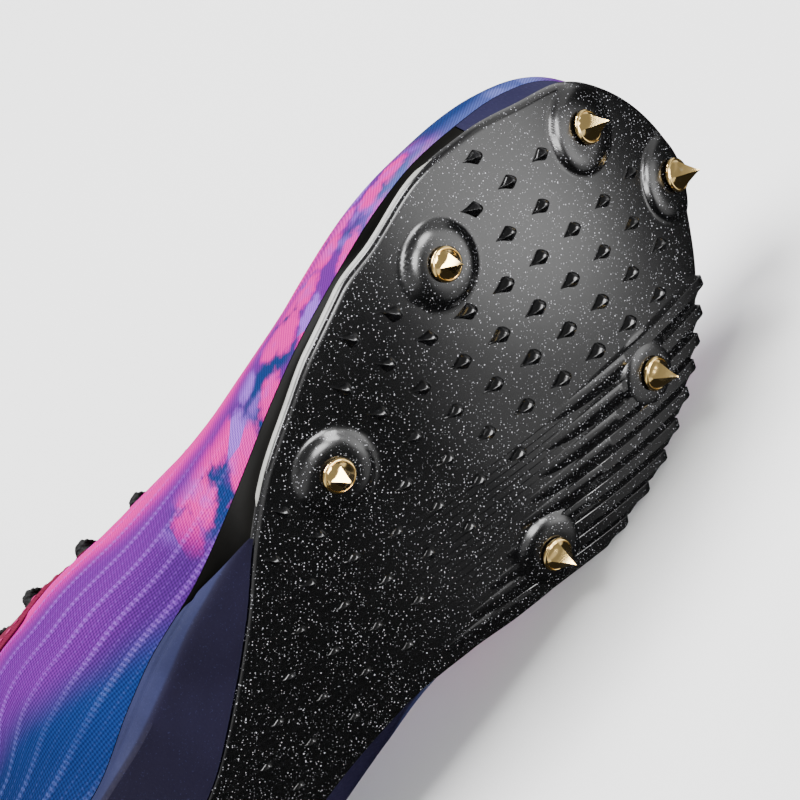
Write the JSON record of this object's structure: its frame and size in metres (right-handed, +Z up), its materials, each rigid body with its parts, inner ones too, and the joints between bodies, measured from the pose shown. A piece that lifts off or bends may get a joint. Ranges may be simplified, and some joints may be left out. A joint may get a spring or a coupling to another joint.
{
  "type": "track spike shoe",
  "caption": "Track spike shoe for the right foot, lying on its inner side: knitted upper, black toothed plate, navy foam and screw-in gold spikes.",
  "frame": {"origin": "middle of the bounding box of the lying shoe, at the floor", "axes": "+X from heel to toe, +Z up from the floor; the sole faces -Y and the outer side of the foot faces up"},
  "size_m": [0.2808, 0.1064, 0.0997],
  "materials": {
    "black_plate": "gloss with fine silver flecks",
    "black_side": "satin",
    "gold_spike": "polished",
    "navy_foam": "matt",
    "knit_upper": "woven, pink to violet to blue",
    "crimson_eyestay": "matt",
    "pink_tongue": "matt knit",
    "grey_insole": "matt",
    "black_lace": "matt braid"
  },
  "bodies": {
    "root": {"spike_plate": "black_plate", "forefoot_unit": "black_side", "toe_foam": "navy_foam", "midsole_foam": "navy_foam", "insole": "grey_insole", "upper": "knit_upper", "eyestay": "crimson_eyestay", "tongue": "pink_tongue", "laces": "black_lace", "spike_toe_outer": "gold_spike", "spike_toe_inner": "gold_spike", "spike_middle_outer": "gold_spike", "spike_middle_inner": "gold_spike", "spike_rear_outer": "gold_spike", "spike_rear_inner": "gold_spike"}
  },
  "joints": []
}
